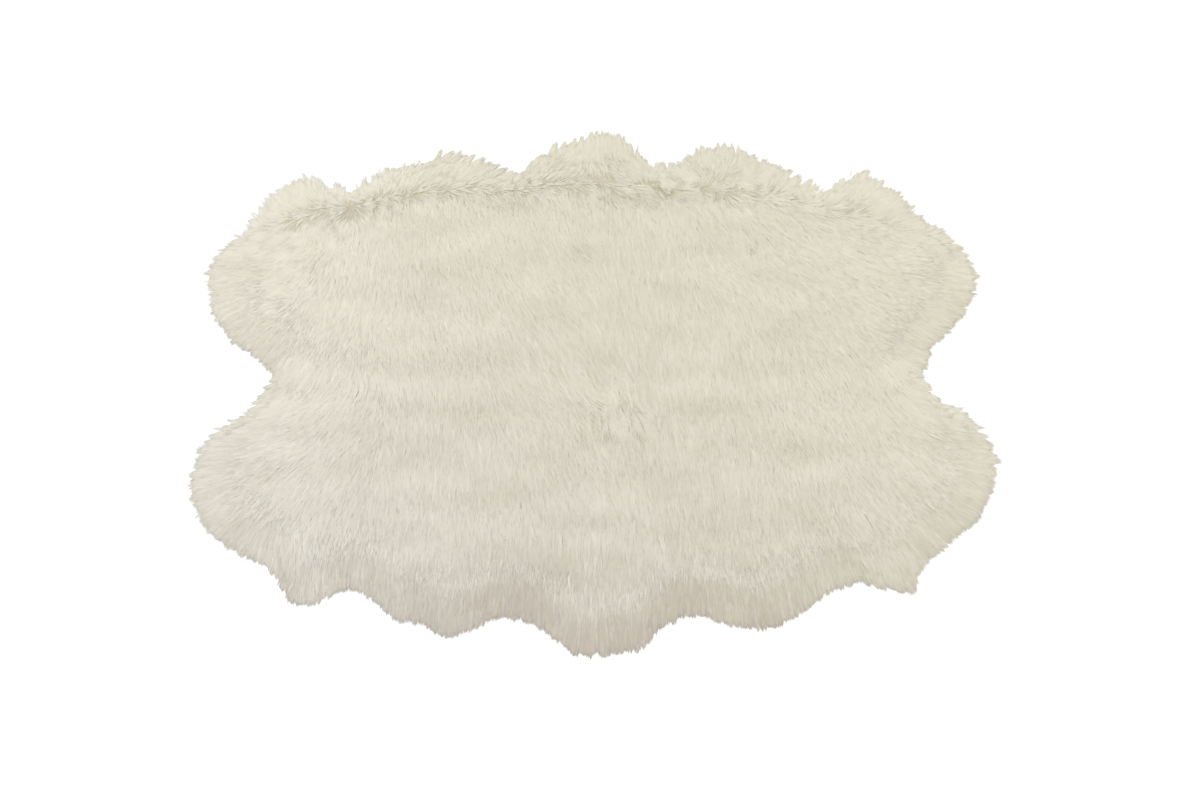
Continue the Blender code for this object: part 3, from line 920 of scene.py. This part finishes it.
# The index wraps round, so any draw falls on one of the shapes.
chosen = node("FunctionNodeRandomValue", data_type="INT", inputs={
    "Min": 0, "Max": SHAPE_DRAW, "Seed": given["Seed"]})
placed = node("GeometryNodeInstanceOnPoints", inputs={
    "Points": rooted, "Instance": shapes, "Pick Instance": True, "Instance Index": chosen,
    "Rotation": turn, "Scale": scale})
print("nodes so far:", len(wool_tree.nodes))

# %% [markdown]
# ## Tone and warmth
# Each lock has one tone and one warmth. They are those painted where its tip lies, for that is the part that
# is seen, and the tone carries the painted light and shade. Its strand, its tuft and chance add their share
# to the tone. Warmth has four steps only, mixed by chance where it changes, so the two fit in one number: the
# step, and the tone as the share after it.

# %% Tone and warmth of each lock
WARMTHS = 4
TONE_RANGE = (0.02, 0.96)

# The painted tone, with its painted light and shade, is read where each tip lies
painted = {
    name: node("GeometryNodeSampleNearestSurface", output="Value", inputs={
        "Mesh": rug, "Value": here[name], "Sample Position": tip})
    for name in ("shade", "strand", "warm")}
tone = node("ShaderNodeMath", strand, painted["strand"], painted["shade"], operation="MULTIPLY_ADD")
own_tone = node("ShaderNodeMath", chance["tone"], tuft_chance["tone"], operation="ADD")
tone = node("ShaderNodeMath", tone, own_tone, operation="ADD")
tone = node("ShaderNodeClamp", tone, *TONE_RANGE)
warm = node("ShaderNodeMath", painted["warm"], WARMTHS - 1, chance["warmth"], operation="MULTIPLY_ADD")
warm = node("ShaderNodeMath", warm, operation="FLOOR")
warm = node("ShaderNodeClamp", warm, 0.0, WARMTHS - 1.0)
both = node("ShaderNodeMath", tone, warm, operation="ADD")
both = node("ShaderNodeMath", both, WARMTHS, operation="DIVIDE")
toned = node("GeometryNodeStoreNamedAttribute", data_type="FLOAT", domain="INSTANCE", inputs={
    "Geometry": placed, "Name": "tone", "Value": both})
print("nodes so far:", len(wool_tree.nodes))

# %% [markdown]
# ## Making the wool real
# The export keeps no instances, so the locks are made one mesh. Then nothing may sink into the floor. Hair
# shades as a soft whole, and not as thousands of little blades, so each lock's normals are turned almost
# wholly to those of the rug below it, and these are levelled, which takes the glare off the bed's lumps.

# %% Real meshes, the floor and soft normals
OFF_FLOOR = 0.6 * MM
LEVELLING = 1.2

real = node("GeometryNodeRealizeInstances", inputs={"Geometry": toned})
spot = node("ShaderNodeSeparateXYZ", node("GeometryNodeInputPosition")).node.outputs
height = node("ShaderNodeMath", spot["Z"], OFF_FLOOR, operation="MAXIMUM")
above_floor = node("ShaderNodeCombineXYZ", spot["X"], spot["Y"], height)
laid = node("GeometryNodeSetPosition", inputs={"Geometry": real, "Position": above_floor})
own = node("GeometryNodeInputNormal")
levelled = node("ShaderNodeVectorMath", own, (0, 0, LEVELLING), operation="ADD")
rug_normal = node("GeometryNodeSampleNearestSurface", data_type="FLOAT_VECTOR", output="Value", inputs={
    "Mesh": rug, "Value": levelled})
blended = node("ShaderNodeMix", data_type="VECTOR", inputs={
    "Factor": given["Softness"], "A": own, "B": rug_normal})
normal = node("ShaderNodeVectorMath", blended, operation="NORMALIZE")
soft = node("GeometryNodeSetMeshNormal", mode="FREE", domain="POINT", inputs={
    "Mesh": laid, "Custom Normal": normal})
print("nodes so far:", len(wool_tree.nodes))

# %% [markdown]
# ## The map of the locks
# The material needs to know each lock's tone and how far along the lock it is. Both are written into the UV
# map, which the export keeps and bakes by: U is the tone and warmth, with a sliver of the lock's own width,
# and V runs along the lock. The root's colour, darker with painted shade, is left out of V, but in hollows
# and along the parting it shows.

# %% The map of the locks, and the end of the tree
SLIVER = 0.004
COVERED = 0.30

own_map = node("GeometryNodeInputNamedAttribute", "OFBake", data_type="FLOAT_VECTOR")
own_map = node("ShaderNodeSeparateXYZ", own_map).node.outputs
lock_tone = node("GeometryNodeInputNamedAttribute", "tone", data_type="FLOAT")
across = node("ShaderNodeMath", own_map["X"], SLIVER, lock_tone, operation="MULTIPLY_ADD")
start = node("ShaderNodeMath", here["bare"], -COVERED, COVERED, operation="MULTIPLY_ADD")
along = node("ShaderNodeMapRange", inputs={"Value": own_map["Y"], "To Min": start, "To Max": 1.0})
mapped = node("GeometryNodeStoreNamedAttribute", data_type="FLOAT2", domain="CORNER", inputs={
    "Geometry": soft, "Name": "OFBake", "Value": node("ShaderNodeCombineXYZ", across, along)})
finished = node("GeometryNodeSetMaterial", inputs={"Geometry": mapped, "Material": given["Material"]})
node("NodeGroupOutput", finished)
print("nodes:", len(wool_tree.nodes), "links:", len(wool_tree.links))

# %% [markdown]
# ## Combed wool
# Ivory wool, washed and combed, is pale, slightly warm and matt, with a soft bloom where loose hair ends
# catch the light. Near the skin it is more olive, its own colour, and darker, as painted shade between the
# locks. Some locks are cooler and some warmer. So there are two wools of four colours each. The map's U picks
# the tone and the wool, and its V the place between root and tip. Only the map is read, so that the colour
# can be baked into one picture by the map, where many locks share each spot.

# %% Wool
# Cool and warm ivory: the colour of a lock's root, its own olive made darker as painted shade between the
# locks, and of the rest of it at its darkest, in the middle and at its lightest
WOOLS = (("C8BFA4", "C2B9AE", "E1DDD2", "F7F3E9"), ("CAC18E", "C6BE9C", "E5E0CC", "F9F5E2"))
ROOT_SHARE = 0.45


def wool_material():
    """Combed ivory long-pile wool: matt, with a soft bloom of loose hair ends."""
    material = bpy.data.materials.new("combed_ivory_wool")
    material.use_nodes = True
    tree = material.node_tree
    shader = tree.nodes["Principled BSDF"]
    lock_map = add_node(tree, "ShaderNodeUVMap", uv_map="OFBake")
    parts = add_node(tree, "ShaderNodeSeparateXYZ", lock_map).node.outputs
    along = add_node(tree, "ShaderNodeMapRange", inputs={
        "Value": parts["Y"], "From Min": 0.0, "From Max": ROOT_SHARE})
    both = add_node(tree, "ShaderNodeMath", parts["X"], WARMTHS, operation="MULTIPLY")
    tone = add_node(tree, "ShaderNodeMath", both, operation="FRACT")
    step = add_node(tree, "ShaderNodeMath", both, operation="FLOOR")
    warm = add_node(tree, "ShaderNodeMath", step, WARMTHS - 1, operation="DIVIDE")
    wools = []
    for root, dark, middle, light in WOOLS:
        tones = add_node(tree, "ShaderNodeValToRGB", tone)
        ramp = tones.node.color_ramp.elements
        ramp[0].color, ramp[1].color = linear(dark), linear(light)
        ramp.new(0.5).color = linear(middle)
        # Along the lock, the root's colour with its painted shade gives way to the tone
        wools.append(add_node(tree, "ShaderNodeMix", data_type="RGBA", output="Result", inputs={
            "Factor": along, "A": linear(root), "B": tones}))
    colour = add_node(tree, "ShaderNodeMix", data_type="RGBA", output="Result", inputs={
        "Factor": warm, "A": wools[0], "B": wools[1]})
    tree.links.new(colour, shader.inputs["Base Color"])
    shader.inputs["Roughness"].default_value = 0.62
    shader.inputs["Specular IOR Level"].default_value = 0.25
    shader.inputs["Sheen Weight"].default_value = 0.25
    shader.inputs["Sheen Roughness"].default_value = 0.4
    return material


wool = wool_material()
print("material:", wool.name)

# %% [markdown]
# ## Underwool and suede
# Underwool is matted into a felt with a grain of about 3 mm. Its olive is its own, and it is darker as
# painted shade, for it lies under the locks. The back of the skin is tanned suede, with a finer nap. Both are
# matt, in two close tones, so one function makes them with different colours and grain.

# %% Underwool and suede
NAP_HEIGHT = 0.5 * MM


def felted_material(name, base, other, grain_mm, roughness):
    """A matt fibrous surface in two close tones, with grain of the given size."""
    material = bpy.data.materials.new(name)
    material.use_nodes = True
    tree = material.node_tree
    shader = tree.nodes["Principled BSDF"]
    place = add_node(tree, "ShaderNodeTexCoord", output="Object")
    grain = add_node(tree, "ShaderNodeTexNoise", inputs={
        "Vector": place, "Scale": 1 / (grain_mm * MM), "Detail": 4.0})
    colour = add_node(tree, "ShaderNodeMix", data_type="RGBA", output="Result", inputs={
        "Factor": grain, "A": linear(base), "B": linear(other)})
    bump = add_node(tree, "ShaderNodeBump", inputs={"Strength": 0.4, "Distance": NAP_HEIGHT, "Height": grain})
    tree.links.new(colour, shader.inputs["Base Color"])
    tree.links.new(bump, shader.inputs["Normal"])
    shader.inputs["Roughness"].default_value = roughness
    print("material:", name, "grain", grain_mm, "mm")
    return material


# The underwool is darker than the wool, as painted shade under the locks
underwool_felt = felted_material("matted_underwool", "D4CBB0", "DFD7C0", 3.0, 0.95)
suede = felted_material("pale_tanned_suede", "CFC0A4", "DCCFB6", 1.2, 0.9)

# %% [markdown]
# ## Skins and closed beds
# Skin, underwool and locks are separate pieces, as they are separate things to the hand. The skin is a flat
# sheet, 2 mm thick. The underwool is the growing surface, a little sunk so that it stays hidden by the locks,
# and closed down to the skin.

# %% Skins and beds
SKIN_THICK = 2.0 * MM
BED_SUNK = 2.5 * MM
BED_THIN = 0.5 * MM


def plain_mesh(name, form):
    """The form as a mesh, and the form freed."""
    mesh = bpy.data.meshes.new(name)
    form.to_mesh(mesh)
    form.free()
    return mesh


def closed_bed(pelt):
    """A closed mesh from a little under the growing surface down to the skin."""
    form = bmesh.new()
    form.from_mesh(beds[pelt])
    for point in form.verts:
        point.co.z = max(point.co.z - BED_SUNK, SKIN_THICK + BED_THIN)
    grown = bmesh.ops.extrude_face_region(form, geom=form.faces)["geom"]
    for part in grown:
        if isinstance(part, bmesh.types.BMVert):
            part.co.z = SKIN_THICK
    bmesh.ops.dissolve_faces(form, faces=[part for part in grown if isinstance(part, bmesh.types.BMFace)])
    bmesh.ops.recalc_face_normals(form, faces=form.faces)
    bmesh.ops.triangulate(form, faces=[face for face in form.faces if len(face.verts) > 4])
    return plain_mesh(pelt, form)


def skin_mesh(pelt):
    """The flat skin, cut to its outline."""
    form = bmesh.new()
    loop = fine_loop(outlines[pelt], RIM_CELL)
    face = form.faces.new([form.verts.new((x, y, 0)) for x, y in loop])
    for part in bmesh.ops.extrude_face_region(form, geom=[face])["geom"]:
        if isinstance(part, bmesh.types.BMVert):
            part.co.z = SKIN_THICK
    bmesh.ops.recalc_face_normals(form, faces=form.faces)
    bmesh.ops.triangulate(form, faces=form.faces)
    return plain_mesh(pelt + "_skin", form)


skins = {pelt: skin_mesh(pelt) for pelt in PELTS}
closed_beds = {pelt: closed_bed(pelt) for pelt in PELTS}
for pelt in PELTS:
    print(pelt, "faces: skin", len(skins[pelt].polygons), "underwool", len(closed_beds[pelt].polygons))

# %% [markdown]
# ## The whole rug's bed
# A lock near a seam ends on the next pelt, and takes its height, tone and normal from there. So the tree also
# needs the four growing surfaces joined into one.

# %% The whole rug's bed
SEAM_MERGED = 1.0 * MM


def joined_beds():
    """The four growing surfaces as one smooth object, merged along the seams."""
    form = bmesh.new()
    for pelt in PELTS:
        form.from_mesh(beds[pelt])
    bmesh.ops.remove_doubles(form, verts=form.verts, dist=SEAM_MERGED)
    mesh = plain_mesh("whole_rug", form)
    mesh.shade_smooth()
    return bpy.data.objects.new("whole_rug", mesh)


whole_rug = joined_beds()
print("points of the whole rug's bed:", len(whole_rug.data.vertices))

# %% [markdown]
# ## Growing each pelt's locks
# The tree runs as a modifier on the bed, and its result is taken as a plain mesh. Each pelt grows twice: the
# fleece all over, and the fringe of narrower locks near the outer edge, where the photo shows fine spikes.

# %% Growing the locks of one pelt
def grow(name, pelt, sizes):
    """Runs the tree on the pelt's bed and keeps the result as a plain mesh."""
    bed = bpy.data.objects.new(name, beds[pelt])
    bpy.context.scene.collection.objects.link(bed)
    modifier = bed.modifiers.new("grow_wool", "NODES")
    modifier.node_group = wool_tree
    values = {"Whole Rug": whole_rug, "Locks": locks, "Material": wool, **sizes}
    for socket in wool_tree.interface.items_tree:
        if socket.in_out == "INPUT" and socket.name in values:
            modifier[socket.identifier] = values[socket.name]
    graph = bpy.context.evaluated_depsgraph_get()
    mesh = bpy.data.meshes.new_from_object(bed.evaluated_get(graph))
    bpy.data.objects.remove(bed, do_unlink=True)
    mesh.name = name
    print(name, "locks:", len(mesh.polygons) // 4)
    return mesh


# %% [markdown]
# ## Putting the rug together
# Each pelt gives four pieces: skin, underwool, fleece and fringe. They all lie still on one body, and the
# fleece takes the place of the pelt's plain solid, which is hidden.

# %% The four pelts
SHARED = {"Wander": math.radians(5), "Tuft Size": 15 * MM, "Softness": 0.95}
# A Band of 10 m takes in the whole pelt.
FLEECE = {"Locks per Square Metre": 104000.0, "Band": 10.0, "Width": 1.0, **SHARED}
FRINGE = {"Locks per Square Metre": 110000.0, "Band": 62 * MM, "Width": 0.8, **SHARED}
FLEECE_SEED = 11
FRINGE_SEED = 31


def add_piece(name, mesh, material):
    """The mesh as a finished piece of the rug."""
    piece = bpy.data.objects.new(name, mesh)
    bpy.context.scene.collection.objects.link(piece)
    mesh.materials.clear()
    mesh.materials.append(material)
    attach(piece, "root")
    return piece


for number, pelt in enumerate(PELTS):
    short = pelt.removeprefix("pelt_")
    skin = add_piece("skin_" + short, skins[pelt], suede)
    width, length = (outlines[pelt].max(0) - outlines[pelt].min(0)).tolist()
    add_piece("underwool_" + short, closed_beds[pelt], underwool_felt)
    body = grow("fleece_" + short, pelt, {**FLEECE, "Seed": FLEECE_SEED + number})
    fringe = grow("fringe_" + short, pelt, {**FRINGE, "Seed": FRINGE_SEED + number})
    fleece_piece = add_piece("fleece_" + short, body, wool)
    add_piece("fringe_" + short, fringe, wool)
    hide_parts(pelt)
    print(short, "flat size:", round(width, 3), "by", round(length, 3), "m")

bpy.data.objects.remove(whole_rug, do_unlink=True)

# %% [markdown]
# ## Sizes
# Both boxes, of the plain solids and of the pieces, are printed. The pieces have to stay close to the
# plain solids' box.

# %% Sizes, and the end
for form in solids.values():
    form.free()
visual_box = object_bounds()
for name, box in (("cad", cad_box), ("visual", visual_box)):
    print(name, [[round(value, 4) for value in corner] for corner in box])
